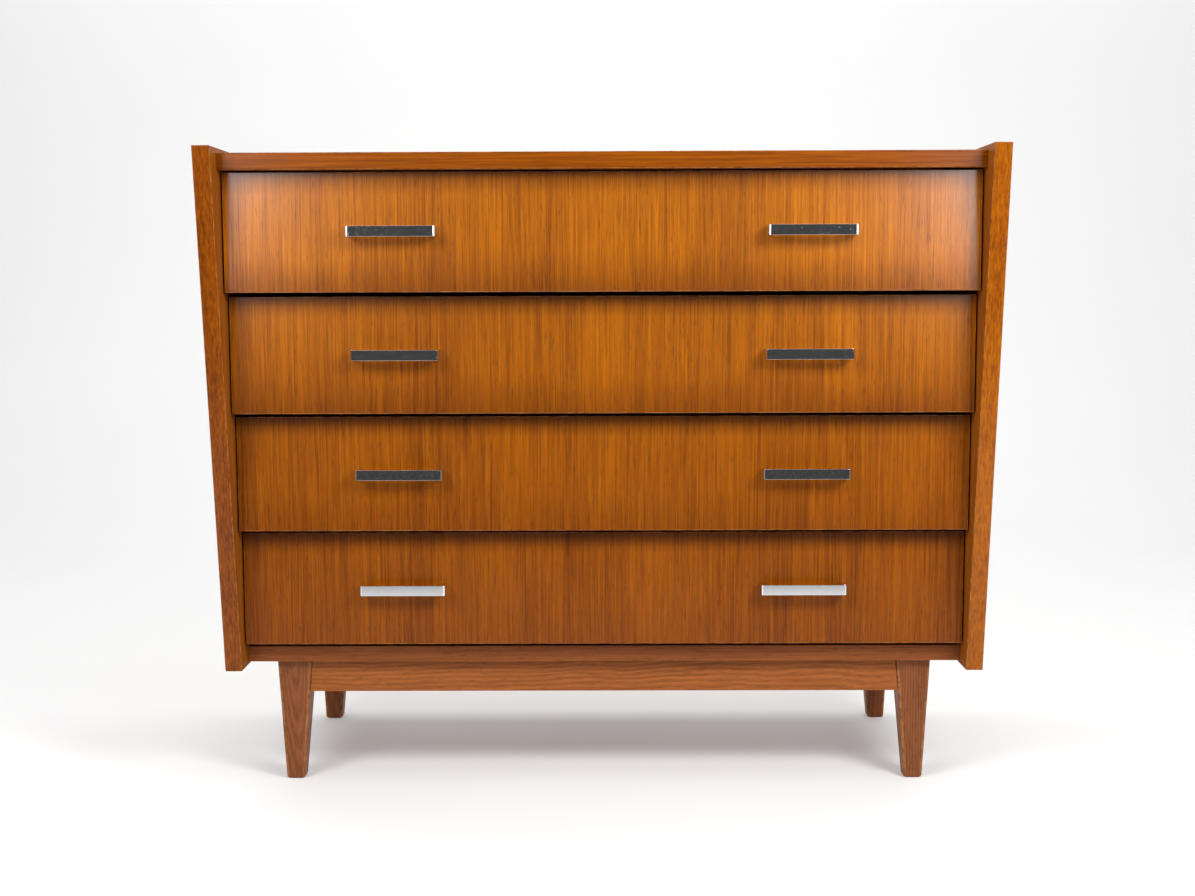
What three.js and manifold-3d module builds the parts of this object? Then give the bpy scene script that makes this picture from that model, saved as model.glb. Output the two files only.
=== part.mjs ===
// A teak chest of four drawers on a separate tapered-leg frame.
// Millimetres, +Z up. X runs along the width, the drawers face -Y, and the origin is on the
// floor under the middle of the chest.

import * as THREE from 'three';
import { mergeVertices } from 'three/addons/utils/BufferGeometryUtils.js';
import Module from 'manifold-3d';

const wasm = await Module();
wasm.setup();

// ---------------------------------------------------------------- driving dimensions

const WIDTH = 950;
const DEPTH = 485;
const HEIGHT = 800;

const SIDE_THICK = 21;
const SIDE_FOOT_Z = 156;      // underside of the side panels
const RAKE = 95;              // how far the front edge leans back from top to bottom

const BOARD_THICK = 20;       // top and bottom panels, drawer fronts, aprons
const TOP_SURFACE_Z = 794;    // the side panels stand a little proud of this
const TOP_SETBACK = 33;       // front edge of the top panel, behind the front of the chest
const BOTTOM_Z = 160;         // underside of the bottom panel
const BOTTOM_SETBACK = 131;

const REBATE_WIDE = 10;       // housing for the back panel, in the sides and the top
const REBATE_DEEP = 7;
const BACK_THICK = 6;

const DRAWER_COUNT = 4;
const DRAWER_PITCH = 147.5;
const TOP_DRAWER_Z = 629.5;   // lower edge of the top drawer's front
const TOP_DRAWER_SETBACK = 48;
const DRAWER_STEP = 21;       // each front stands this far behind the one above
const FRONT_HEIGHT = 142.5;
const FRONT_SIDE_GAP = 2;     // between a drawer and each side panel

const BOX_WALL = 12;          // drawer sides and backs
const BOX_HEIGHT = 120;
const BOX_LIFT = 9;           // lower edge of a drawer side above its front's lower edge
const BOX_REAR_Y = 225.5;
const BACK_INSET = 12;        // drawer back, in from the rear ends of the drawer sides
const DADO_DEEP = 4;
const PLY_THICK = 4;          // drawer bottom
const PLY_LIFT = 8;           // drawer bottom above the lower edge of the drawer sides
const PLY_GROOVE = 5;
const PLY_LOOSE = 0.5;

const TAIL_COUNT = 3;         // dovetails on each drawer side
const TAIL_LONG = 15;
const TAIL_WIDE = 30;         // at the tip
const TAIL_NECK = 25;         // at the shoulder
const FIT = 0.2;              // clearance in grooves, dados and dovetail sockets

const RUNNER_PROUD = 8;       // how far a runner stands out from the side panel
const RUNNER_HIGH = 12;
const RUNNER_LIFT = 69;       // lower face of a runner above the front's lower edge
const RUNNER_START = 32;      // front end of a runner, behind the face of the drawer front
const RUNNER_END_Y = 230.5;
const RUNNER_GROOVE = 7;      // depth of the groove in the drawer side
const GROOVE_START = 30;      // front end of that groove, behind the face of the front

const HANDLE_LONG = 106.5;
const HANDLE_HIGH = 12.5;
const HANDLE_PROUD = 22;
const HANDLE_BAR = 3.2;       // thickness of the bar
const HANDLE_LEG = 7.5;       // width of the turned-back ends
const HANDLE_BEND = 5;        // outside radius at the ends
const HANDLE_FILLET = 2.5;    // inside radius at the ends
const HANDLE_X = 250;         // middle of a handle from the middle of the drawer
const HANDLE_LIFT = 72;       // middle of a handle above the front's lower edge
const BEND_STEPS = 6;

const FOOT_SIZE = 23.5;
const FOOT_CHAMFER = 3.5;
const FOOT_OUTER_X = 412.5;     // outer face of a leg at the floor
const FOOT_FRONT_SETBACK = 152;
const FOOT_REAR_SETBACK = 19.5;
const OUTER_TAPER = 0.042;    // widening per millimetre of height, towards the outside
const INNER_TAPER = 0.088;
const DEPTH_TAPER = 0.064;

const APRON_LOW_Z = 117.5;
const FRONT_APRON_SETBACK = 145.5;
const REAR_APRON_SETBACK = 13;
const SIDE_APRON_X = 415.5;   // outer face of the aprons at the sides
const APRON_GAP = 0.3;        // glue line between an apron and a leg
const BATTEN = 20;

const OVERCUT = 1;            // how far a cutting block runs past the face that it opens

const TEAK_FRONT = 0xbe7424;
const TEAK_EDGE = 0xa9642c;
const TEAK_LEG = 0x7d4a2d;
const TEAK_APRON = 0xa06034;
const BEECH = 0xc9a06c;
const PLY = 0xc8a677;
const CHROME = 0xd4d6d8;

// ---------------------------------------------------------------- derived places

const FRONT_Y = -DEPTH / 2;
const REAR_Y = DEPTH / 2;
const INNER_X = WIDTH / 2 - SIDE_THICK;
const TOP_LOW_Z = TOP_SURFACE_Z - BOARD_THICK;
const REBATE_Y = REAR_Y - REBATE_DEEP;
const REBATE_TOP_Z = TOP_SURFACE_Z - REBATE_WIDE;

// ---------------------------------------------------------------- shaping helpers

const chest = new THREE.Group();

function addPiece(name, geometry, color, { roughness = 0.5, metalness = 0 } = {}) {
  const material = new THREE.MeshStandardMaterial({ color, roughness, metalness });
  const mesh = new THREE.Mesh(geometry, material);
  mesh.name = name;
  chest.add(mesh);
  return mesh;
}

function block([x0, x1], [y0, y1], [z0, z1]) {
  const geometry = new THREE.BoxGeometry(x1 - x0, y1 - y0, z1 - z0);
  return geometry.translate((x0 + x1) / 2, (y0 + y1) / 2, (z0 + z1) / 2);
}

function shapeFrom(points) {
  return new THREE.Shape(points.map(([u, v]) => new THREE.Vector2(u, v)));
}

function extruded(shape, depth, curveSegments = 1) {
  return new THREE.ExtrudeGeometry(shape, { depth, bevelEnabled: false, curveSegments });
}

// An outline drawn in (y, z), running from x0 to x1.
function alongX(shape, x0, x1) {
  const turn = new THREE.Matrix4().set(0, 0, 1, x0, 1, 0, 0, 0, 0, 1, 0, 0, 0, 0, 0, 1);
  return extruded(shape, x1 - x0).applyMatrix4(turn);
}

// An outline drawn in (x, z), running from y0 back to y1.
function alongY(shape, y0, y1) {
  const turn = new THREE.Matrix4().set(1, 0, 0, 0, 0, 0, -1, y1, 0, 1, 0, 0, 0, 0, 0, 1);
  return extruded(shape, y1 - y0).applyMatrix4(turn);
}

function solidOf(geometry) {
  const bare = geometry.clone();
  bare.deleteAttribute('normal');
  bare.deleteAttribute('uv');
  const merged = mergeVertices(bare);
  return new wasm.Manifold(new wasm.Mesh({
    numProp: 3,
    vertProperties: new Float32Array(merged.attributes.position.array),
    triVerts: new Uint32Array(merged.index.array),
  }));
}

function cut(geometry, ...tools) {
  let solid = solidOf(geometry);
  for (const tool of tools) solid = solid.subtract(solidOf(tool));
  const { vertProperties, triVerts } = solid.getMesh();
  const result = new THREE.BufferGeometry();
  result.setAttribute('position', new THREE.BufferAttribute(vertProperties, 3));
  result.setIndex(new THREE.BufferAttribute(triVerts, 1));
  const flat = result.toNonIndexed();
  flat.computeVertexNormals();
  return flat;
}

function sorted(a, b) {
  return a < b ? [a, b] : [b, a];
}

// A post of four flat sides through a stack of rectangles, each { z, x: [lo, hi], y: [lo, hi] }.
function post(levels) {
  const corners = levels.flatMap(({ z, x, y }) => [
    [x[0], y[0], z], [x[1], y[0], z], [x[1], y[1], z], [x[0], y[1], z],
  ]);
  const faces = [[0, 2, 1], [0, 3, 2]];
  for (let level = 0; level < levels.length - 1; level += 1) {
    for (let side = 0; side < 4; side += 1) {
      const a = level * 4 + side;
      const b = level * 4 + ((side + 1) % 4);
      faces.push([a, b, b + 4], [a, b + 4, a + 4]);
    }
  }
  const top = (levels.length - 1) * 4;
  faces.push([top, top + 1, top + 2], [top, top + 2, top + 3]);
  const geometry = new THREE.BufferGeometry();
  const positions = faces.flat().flatMap((corner) => corners[corner]);
  geometry.setAttribute('position', new THREE.Float32BufferAttribute(positions, 3));
  geometry.computeVertexNormals();
  return geometry;
}

// ---------------------------------------------------------------- case

function makeSidePanel(name, side) {
  const outline = shapeFrom([
    [FRONT_Y, HEIGHT], [FRONT_Y + RAKE, SIDE_FOOT_Z], [REAR_Y, SIDE_FOOT_Z], [REAR_Y, HEIGHT],
  ]);
  const board = alongX(outline, ...sorted(side * INNER_X, side * (WIDTH / 2)));
  const rebate = block(
    sorted(side * (INNER_X - OVERCUT), side * (INNER_X + REBATE_WIDE)),
    [REBATE_Y, REAR_Y + OVERCUT],
    [SIDE_FOOT_Z - OVERCUT, REBATE_TOP_Z],
  );
  addPiece(name, cut(board, rebate), TEAK_EDGE);
}

function makeTopPanel() {
  const front = FRONT_Y + TOP_SETBACK;
  const section = shapeFrom([
    [front, TOP_LOW_Z], [REBATE_Y, TOP_LOW_Z], [REBATE_Y, REBATE_TOP_Z],
    [REAR_Y, REBATE_TOP_Z], [REAR_Y, TOP_SURFACE_Z], [front, TOP_SURFACE_Z],
  ]);
  addPiece('top_panel', alongX(section, -INNER_X, INNER_X), TEAK_EDGE);
}

function makeBottomPanel() {
  const reach = [FRONT_Y + BOTTOM_SETBACK, REBATE_Y];
  const board = block([-INNER_X, INNER_X], reach, [BOTTOM_Z, BOTTOM_Z + BOARD_THICK]);
  addPiece('bottom_panel', board, TEAK_LEG);
}

function makeBackPanel() {
  const reach = INNER_X + REBATE_WIDE - PLY_LOOSE;
  const board = block(
    [-reach, reach],
    [REBATE_Y, REBATE_Y + BACK_THICK],
    [BOTTOM_Z, REBATE_TOP_Z - PLY_LOOSE],
  );
  addPiece('back_panel', board, PLY, { roughness: 0.7 });
}

makeSidePanel('side_panel_left', -1);
makeSidePanel('side_panel_right', 1);
makeTopPanel();
makeBottomPanel();
makeBackPanel();

// ---------------------------------------------------------------- drawers

// The tails of one drawer side, in (y, z): neck at the shoulder, wide at the tip.
function tailShapes(shoulderY, lowZ, loose) {
  const pitch = BOX_HEIGHT / TAIL_COUNT;
  return Array.from({ length: TAIL_COUNT }, (_, tail) => {
    const middle = lowZ + pitch * (tail + 0.5);
    const tip = shoulderY - TAIL_LONG - loose;
    const neck = TAIL_NECK / 2 + loose;
    const wide = TAIL_WIDE / 2 + loose;
    return [
      [shoulderY, middle + neck], [tip, middle + wide],
      [tip, middle - wide], [shoulderY, middle - neck],
    ];
  });
}

function makeDrawerSide(name, side, boxX, faceY, lowZ) {
  const shoulderY = faceY + BOARD_THICK;
  const highZ = lowZ + BOX_HEIGHT;
  const tails = tailShapes(shoulderY, lowZ, 0).reverse().flat();
  const outline = shapeFrom([
    [BOX_REAR_Y, lowZ], [BOX_REAR_Y, highZ], [shoulderY, highZ], ...tails, [shoulderY, lowZ],
  ]);
  const board = alongX(outline, ...sorted(side * boxX, side * (boxX - BOX_WALL)));
  const innerX = boxX - BOX_WALL;
  const plyZ = lowZ + PLY_LIFT;
  const plyGroove = block(
    sorted(side * (innerX - OVERCUT), side * (innerX + PLY_GROOVE)),
    [shoulderY - OVERCUT, BOX_REAR_Y + OVERCUT],
    [plyZ - FIT, plyZ + PLY_THICK + FIT],
  );
  const runnerZ = lowZ - BOX_LIFT + RUNNER_LIFT;
  const runnerGroove = block(
    sorted(side * (boxX + OVERCUT), side * (boxX - RUNNER_GROOVE)),
    [faceY + GROOVE_START, BOX_REAR_Y + OVERCUT],
    [runnerZ - FIT, runnerZ + RUNNER_HIGH + FIT * 2],
  );
  const dado = block(
    sorted(side * (innerX - OVERCUT), side * (innerX + DADO_DEEP)),
    [BOX_REAR_Y - BACK_INSET - BOX_WALL - FIT, BOX_REAR_Y - BACK_INSET + FIT],
    [plyZ, highZ + OVERCUT],
  );
  addPiece(name, cut(board, plyGroove, runnerGroove, dado), BEECH, { roughness: 0.65 });
}

function makeDrawerFront(name, boxX, faceY, frontZ) {
  const lowZ = frontZ + BOX_LIFT;
  const shoulderY = faceY + BOARD_THICK;
  const board = block([-boxX, boxX], [faceY, shoulderY], [frontZ, frontZ + FRONT_HEIGHT]);
  const tipY = shoulderY - TAIL_LONG - FIT;
  const makeSocket = (side, tail) => {
    const [shoulderHigh, tipHigh, tipLow, shoulderLow] = tail;
    const outline = shapeFrom([shoulderHigh, [tipY, tipHigh[1]], [tipY, tipLow[1]], shoulderLow]);
    return alongX(outline, ...sorted(side * (boxX + OVERCUT), side * (boxX - BOX_WALL - FIT)));
  };
  const tails = tailShapes(shoulderY + OVERCUT, lowZ, FIT);
  const sockets = [-1, 1].flatMap((side) => tails.map((tail) => makeSocket(side, tail)));
  const plyZ = lowZ + PLY_LIFT;
  const plyGroove = block(
    [PLY_GROOVE + BOX_WALL - boxX, boxX - BOX_WALL - PLY_GROOVE],
    [shoulderY - PLY_GROOVE, shoulderY + OVERCUT],
    [plyZ - FIT, plyZ + PLY_THICK + FIT],
  );
  addPiece(name, cut(board, ...sockets, plyGroove), TEAK_FRONT, { roughness: 0.4 });
}

function makeDrawerBack(name, boxX, lowZ) {
  const reach = boxX - BOX_WALL + DADO_DEEP - FIT;
  const rear = BOX_REAR_Y - BACK_INSET;
  const board = block(
    [-reach, reach],
    [rear - BOX_WALL, rear],
    [lowZ + PLY_LIFT + PLY_THICK + FIT, lowZ + BOX_HEIGHT],
  );
  addPiece(name, board, BEECH, { roughness: 0.65 });
}

function makeDrawerBottom(name, boxX, faceY, lowZ) {
  const reach = boxX - BOX_WALL + PLY_GROOVE - PLY_LOOSE;
  const plyZ = lowZ + PLY_LIFT;
  const sheetFront = faceY + BOARD_THICK - PLY_GROOVE + PLY_LOOSE;
  const sheet = block([-reach, reach], [sheetFront, BOX_REAR_Y], [plyZ, plyZ + PLY_THICK]);
  const inFront = PLY_GROOVE + PLY_LOOSE * 2;
  const corners = [-1, 1].map((side) => block(
    sorted(side * (boxX - BOX_WALL - inFront), side * boxX),
    [sheetFront - OVERCUT, sheetFront + inFront],
    [plyZ - OVERCUT, plyZ + PLY_THICK + OVERCUT],
  ));
  addPiece(name, cut(sheet, ...corners), PLY, { roughness: 0.7 });
}

// A flat bar whose ends turn back to the drawer: its plan, extruded upwards.
function handlePlan() {
  const half = HANDLE_LONG / 2;
  const inner = half - HANDLE_LEG;
  const barBack = HANDLE_BAR - HANDLE_PROUD;
  const quarter = Math.PI / 2;
  const bendX = half - HANDLE_BEND;
  const bendY = HANDLE_BEND - HANDLE_PROUD;
  const filletX = inner - HANDLE_FILLET;
  const filletY = barBack + HANDLE_FILLET;
  const plan = new THREE.Shape();
  plan.moveTo(half, 0);
  plan.lineTo(inner, 0);
  plan.lineTo(inner, filletY);
  plan.absarc(filletX, filletY, HANDLE_FILLET, 0, -quarter, true);
  plan.lineTo(-filletX, barBack);
  plan.absarc(-filletX, filletY, HANDLE_FILLET, -quarter, -2 * quarter, true);
  plan.lineTo(-inner, 0);
  plan.lineTo(-half, 0);
  plan.lineTo(-half, bendY);
  plan.absarc(-bendX, bendY, HANDLE_BEND, 2 * quarter, 3 * quarter, false);
  plan.lineTo(bendX, -HANDLE_PROUD);
  plan.absarc(bendX, bendY, HANDLE_BEND, 3 * quarter, 4 * quarter, false);
  return plan;
}

function makeHandle(name, side, faceY, frontZ) {
  const handle = extruded(handlePlan(), HANDLE_HIGH, BEND_STEPS);
  const mesh = addPiece(name, handle, CHROME, { roughness: 0.15, metalness: 1 });
  mesh.position.set(side * HANDLE_X, faceY, frontZ + HANDLE_LIFT - HANDLE_HIGH / 2);
}

function makeRunner(name, side, faceY, frontZ) {
  const strip = block(
    sorted(side * INNER_X, side * (INNER_X - RUNNER_PROUD)),
    [faceY + RUNNER_START, RUNNER_END_Y],
    [frontZ + RUNNER_LIFT, frontZ + RUNNER_LIFT + RUNNER_HIGH],
  );
  addPiece(name, strip, BEECH, { roughness: 0.6 });
}

for (let index = 0; index < DRAWER_COUNT; index += 1) {
  const drawer = `drawer_${index + 1}`;
  const faceY = FRONT_Y + TOP_DRAWER_SETBACK + DRAWER_STEP * index;
  const frontZ = TOP_DRAWER_Z - DRAWER_PITCH * index;
  const lowZ = frontZ + BOX_LIFT;
  const boxX = INNER_X - FRONT_SIDE_GAP;
  makeDrawerFront(`${drawer}_front`, boxX, faceY, frontZ);
  makeDrawerBack(`${drawer}_back`, boxX, lowZ);
  makeDrawerBottom(`${drawer}_bottom`, boxX, faceY, lowZ);
  for (const [hand, side] of [['left', -1], ['right', 1]]) {
    makeDrawerSide(`${drawer}_side_${hand}`, side, boxX, faceY, lowZ);
    makeHandle(`${drawer}_handle_${hand}`, side, faceY, frontZ);
    makeRunner(`runner_${hand}_${index + 1}`, side, faceY, frontZ);
  }
}

// ---------------------------------------------------------------- leg frame

const FOOT_FRONT_Y = FRONT_Y + FOOT_FRONT_SETBACK;
const FOOT_REAR_Y = REAR_Y - FOOT_REAR_SETBACK;

// The rectangle of a leg at height z, before the foot's edges are eased.
function legLevel(side, isFront, z) {
  const outer = FOOT_OUTER_X + OUTER_TAPER * z;
  const inner = FOOT_OUTER_X - FOOT_SIZE - INNER_TAPER * z;
  const low = isFront ? FOOT_FRONT_Y : FOOT_REAR_Y - FOOT_SIZE;
  return {
    z,
    x: sorted(side * inner, side * outer),
    y: [low - DEPTH_TAPER * z, low + FOOT_SIZE + DEPTH_TAPER * z],
  };
}

function makeLeg(name, side, isFront) {
  const eased = legLevel(side, isFront, 0);
  eased.x = [eased.x[0] + FOOT_CHAMFER, eased.x[1] - FOOT_CHAMFER];
  eased.y = [eased.y[0] + FOOT_CHAMFER, eased.y[1] - FOOT_CHAMFER];
  const levels = [eased, legLevel(side, isFront, FOOT_CHAMFER), legLevel(side, isFront, BOTTOM_Z)];
  addPiece(name, post(levels), TEAK_LEG);
}

// Front and rear aprons: their ends follow the slope of the legs' inner faces.
function makeCrossApron(name, y0) {
  const reachAt = (z) => FOOT_OUTER_X - FOOT_SIZE - INNER_TAPER * z - APRON_GAP;
  const low = reachAt(APRON_LOW_Z);
  const high = reachAt(BOTTOM_Z);
  const outline = shapeFrom([
    [-low, APRON_LOW_Z], [low, APRON_LOW_Z], [high, BOTTOM_Z], [-high, BOTTOM_Z],
  ]);
  addPiece(name, alongY(outline, y0, y0 + BOARD_THICK), TEAK_APRON);
}

function makeSideApron(name, side) {
  const frontAt = (z) => FOOT_FRONT_Y + FOOT_SIZE + DEPTH_TAPER * z + APRON_GAP;
  const rearAt = (z) => FOOT_REAR_Y - FOOT_SIZE - DEPTH_TAPER * z - APRON_GAP;
  const outline = shapeFrom([
    [frontAt(APRON_LOW_Z), APRON_LOW_Z], [rearAt(APRON_LOW_Z), APRON_LOW_Z],
    [rearAt(BOTTOM_Z), BOTTOM_Z], [frontAt(BOTTOM_Z), BOTTOM_Z],
  ]);
  const reach = sorted(side * SIDE_APRON_X, side * (SIDE_APRON_X - BOARD_THICK));
  addPiece(name, alongX(outline, ...reach), TEAK_APRON);
}

// A square strip inside each side apron: screws go up through it into the case.
function makeBatten(name, side) {
  const high = BOTTOM_Z;
  const outerX = SIDE_APRON_X - BOARD_THICK;
  const clear = FOOT_SIZE + DEPTH_TAPER * high + BATTEN;
  const strip = block(
    sorted(side * outerX, side * (outerX - BATTEN)),
    [FOOT_FRONT_Y + clear, FOOT_REAR_Y - clear],
    [high - BATTEN, high],
  );
  addPiece(name, strip, BEECH, { roughness: 0.65 });
}

for (const [hand, side] of [['left', -1], ['right', 1]]) {
  makeLeg(`leg_front_${hand}`, side, true);
  makeLeg(`leg_rear_${hand}`, side, false);
  makeSideApron(`apron_${hand}`, side);
  makeBatten(`batten_${hand}`, side);
}
makeCrossApron('apron_front', FRONT_Y + FRONT_APRON_SETBACK);
makeCrossApron('apron_rear', REAR_Y - REAR_APRON_SETBACK - BOARD_THICK);

export default chest;
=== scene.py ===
# %% [markdown]
# # A teak chest of four drawers
# The chest is a case of veneered boards on a separate leg frame. The CAD model fixes every size,
# so this script only gives each part its finished surface: eased edges, dovetails, pulls and
# screws, and the woods and metal that they are made of. One unit is one metre.

import math

import bpy
from mathutils import Matrix, Vector


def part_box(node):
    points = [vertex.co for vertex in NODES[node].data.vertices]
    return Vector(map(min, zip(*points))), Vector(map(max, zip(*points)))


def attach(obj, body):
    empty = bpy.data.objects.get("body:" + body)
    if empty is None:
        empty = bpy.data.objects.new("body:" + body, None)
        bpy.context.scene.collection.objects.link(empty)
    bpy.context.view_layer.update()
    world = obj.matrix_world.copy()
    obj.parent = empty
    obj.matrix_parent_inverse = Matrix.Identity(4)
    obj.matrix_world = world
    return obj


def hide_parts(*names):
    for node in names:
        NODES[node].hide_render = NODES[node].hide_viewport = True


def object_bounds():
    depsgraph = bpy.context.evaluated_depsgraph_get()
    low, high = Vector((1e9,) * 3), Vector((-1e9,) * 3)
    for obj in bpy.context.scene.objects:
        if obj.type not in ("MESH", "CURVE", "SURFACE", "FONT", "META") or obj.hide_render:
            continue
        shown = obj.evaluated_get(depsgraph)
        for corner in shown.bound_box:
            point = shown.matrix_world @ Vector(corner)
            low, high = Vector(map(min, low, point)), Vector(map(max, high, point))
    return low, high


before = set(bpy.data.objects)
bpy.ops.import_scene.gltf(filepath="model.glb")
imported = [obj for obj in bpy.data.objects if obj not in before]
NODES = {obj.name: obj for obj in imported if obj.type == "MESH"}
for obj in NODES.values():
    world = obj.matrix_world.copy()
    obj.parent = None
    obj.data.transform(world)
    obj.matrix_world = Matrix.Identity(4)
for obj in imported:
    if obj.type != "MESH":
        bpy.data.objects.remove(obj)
CAD_LOW, CAD_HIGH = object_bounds()
MM = 0.001
DRAWERS = range(1, 5)
HANDS = ("left", "right")
print("CAD box in metres:", tuple(CAD_LOW), tuple(CAD_HIGH))

# %% [markdown]
# ## The camera
# A product picture of furniture is usually taken from a little over half its height, nearly
# square on, with a lens slightly longer than the eye's view. Tilting the camera down a few
# degrees makes the uprights lean together, so the tilt is part of the likeness. The turn is
# built as three rotations: heading first, then tilt, then a very small roll.

# %% Camera
LENS = 48.0
CAMERA_PLACE = Vector((0.0077, CAD_LOW.y - 1.8655, 0.6344))
HEADING, TILT, ROLL = 0.0072, 0.1004, -0.0036


def make_camera():
    data = bpy.data.cameras.new("view")
    data.lens = LENS
    data.sensor_width = 36.0
    camera = bpy.data.objects.new("view", data)
    bpy.context.scene.collection.objects.link(camera)
    turn = (Matrix.Rotation(HEADING, 4, "Z")
            @ Matrix.Rotation(math.pi / 2 - TILT, 4, "X")
            @ Matrix.Rotation(ROLL, 4, "Z"))
    camera.matrix_world = Matrix.Translation(CAMERA_PLACE) @ turn
    bpy.context.scene.camera = camera
    return camera


camera = make_camera()
print("camera at", tuple(round(v, 3) for v in camera.location))

# %% [markdown]
# ## Bench helpers
# An operator works on whatever is selected, so each helper first empties the selection. Faces,
# edges and points are picked by a test on their place, and the helper then opens edit mode with
# just those selected. That takes the place of clicking on them with the mouse.


# %% Selecting and finishing a piece
def only(piece):
    """Makes one piece the whole selection."""
    if bpy.context.object and bpy.context.object.mode == "EDIT":
        bpy.ops.object.mode_set(mode="OBJECT")
    bpy.ops.object.select_all(action="DESELECT")
    piece.select_set(True)
    bpy.context.view_layer.objects.active = piece


def pick(piece, kind, test):
    """Selects the faces, edges or points that pass a test, and opens edit mode."""
    only(piece)
    mesh = piece.data
    for items in (mesh.vertices, mesh.edges, mesh.polygons):
        items.foreach_set("select", [False] * len(items))
    if kind == "FACE":
        for face in mesh.polygons:
            face.select = test(face.center, face.normal)
    if kind == "EDGE":
        for edge in mesh.edges:
            first, second = (mesh.vertices[i].co for i in edge.vertices)
            edge.select = test(first, second)
    if kind == "VERT":
        for point in mesh.vertices:
            point.select = test(point.co)
    modes = tuple(kind == name for name in ("VERT", "EDGE", "FACE"))
    bpy.context.tool_settings.mesh_select_mode = modes
    bpy.ops.object.mode_set(mode="EDIT")


def leave_edit():
    bpy.ops.object.mode_set(mode="OBJECT")


def near(a, b, slack=0.05 * MM):
    return abs(a - b) < slack


# %% Blocks, copies of CAD boards, and eased edges
def block(name, low, high):
    """A block between two corners, with its place in its mesh."""
    low, high = Vector(low), Vector(high)
    bpy.ops.object.select_all(action="DESELECT")
    bpy.ops.mesh.primitive_cube_add(size=1, location=(low + high) / 2, scale=high - low)
    piece = bpy.context.object
    piece.name = name
    bpy.ops.object.transform_apply(location=True, rotation=True, scale=True)
    return piece


def bench_copy(node, name):
    """A tidied copy of a CAD board: its loose triangles joined into whole faces."""
    piece = bpy.data.objects.new(name, NODES[node].data.copy())
    bpy.context.scene.collection.objects.link(piece)
    piece.data.materials.clear()
    only(piece)
    bpy.ops.mesh.customdata_custom_splitnormals_clear()
    bpy.ops.object.mode_set(mode="EDIT")
    bpy.ops.mesh.select_all(action="SELECT")
    bpy.ops.mesh.remove_doubles(threshold=0.01 * MM)
    bpy.ops.mesh.dissolve_limited(angle_limit=math.radians(0.5))
    leave_edit()
    return piece


def bevel_selected(width, rounds=2, worn=1):
    bpy.ops.mesh.bevel(offset=width, offset_type="OFFSET", segments=rounds, profile=0.5,
                       affect="EDGES", clamp_overlap=True, material=worn)


def smooth_rounds(piece, angle=50):
    """Smooth shading over the small rounds, with the flats kept flat."""
    only(piece)
    bpy.ops.object.shade_smooth_by_angle(angle=math.radians(angle))
    weighted = piece.modifiers.new("flat faces", "WEIGHTED_NORMAL")
    weighted.keep_sharp = True
    bpy.ops.object.modifier_apply(modifier=weighted.name)


def ease(piece, width, rounds=2, worn=1, test=lambda first, second: True):
    """Rounds the sharp edges, as sandpaper does. The rounds get the rubbed finish."""
    pick(piece, "EDGE", lambda first, second: False)
    bpy.ops.mesh.edges_select_sharp(sharpness=math.radians(30))
    leave_edit()
    sharp = {edge.index for edge in piece.data.edges if edge.select}
    ends = [tuple(edge.vertices) for edge in piece.data.edges]
    points = [point.co.copy() for point in piece.data.vertices]
    chosen = {index for index in sharp if test(*(points[i] for i in ends[index]))}
    for edge in piece.data.edges:
        edge.select = edge.index in chosen
    for item in (*piece.data.vertices, *piece.data.polygons):
        item.select = False
    bpy.ops.object.mode_set(mode="EDIT")
    bevel_selected(width, rounds, worn)
    leave_edit()
    smooth_rounds(piece)
    return piece


def coat_with(piece, *materials):
    for material in materials:
        piece.data.materials.append(material)
    return piece


def finish_faces(piece, index, test):
    """Gives another finish to the faces that pass a test."""
    for face in piece.data.polygons:
        if test(face.center, face.normal):
            face.material_index = index


def settle(piece, body, slot, *nodes):
    """Says which body a piece moves with and hides the CAD parts it stands for; slot is not used.
    """
    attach(piece, body)
    if nodes:
        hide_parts(*nodes)
    return piece


# %% [markdown]
# ## Wiring shader nodes
# Node trees are easier to read when each node is one line. `add` makes a node and fills its
# inputs with either a number or the output of another node. `new_group` opens a node group with
# named inputs and outputs, so that an effect is built once and used by many materials.


# %% Node helpers
def add(tree, kind, inputs=None, **settings):
    made = tree.nodes.new("ShaderNode" + kind)
    for name, value in settings.items():
        setattr(made, name, value)
    for name, value in (inputs or {}).items():
        if isinstance(value, bpy.types.NodeSocket):
            tree.links.new(value, made.inputs[name])
        else:
            made.inputs[name].default_value = value
    return made


def calc(tree, operation, first, second=0.0, clamp=False):
    made = add(tree, "Math", {0: first, 1: second}, operation=operation, use_clamp=clamp)
    return made.outputs[0]


def blend(tree, factor, first, second, mode="MIX"):
    made = add(tree, "Mix", {0: factor, 6: first, 7: second}, data_type="RGBA", blend_type=mode)
    return made.outputs[2]


def remap(tree, value, low, high, new_low=0.0, new_high=1.0):
    inputs = {0: value, 1: low, 2: high, 3: new_low, 4: new_high}
    return add(tree, "MapRange", inputs).outputs[0]


def stretched(tree, vector, across, along):
    """Noise coordinates that are squeezed across the grain and long along it."""
    sizes = add(tree, "CombineXYZ", {0: across, 1: across, 2: along}).outputs[0]
    return add(tree, "VectorMath", {0: vector, 1: sizes}, operation="MULTIPLY").outputs[0]


def noise(tree, vector, detail=2.0, roughness=0.5, colour=False):
    inputs = {"Vector": vector, "Scale": 1.0, "Detail": detail, "Roughness": roughness}
    made = add(tree, "TexNoise", inputs)
    return made.outputs["Color" if colour else "Fac"]


SOCKETS = {"value": "NodeSocketFloat", "colour": "NodeSocketColor", "vector": "NodeSocketVector"}


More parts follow.
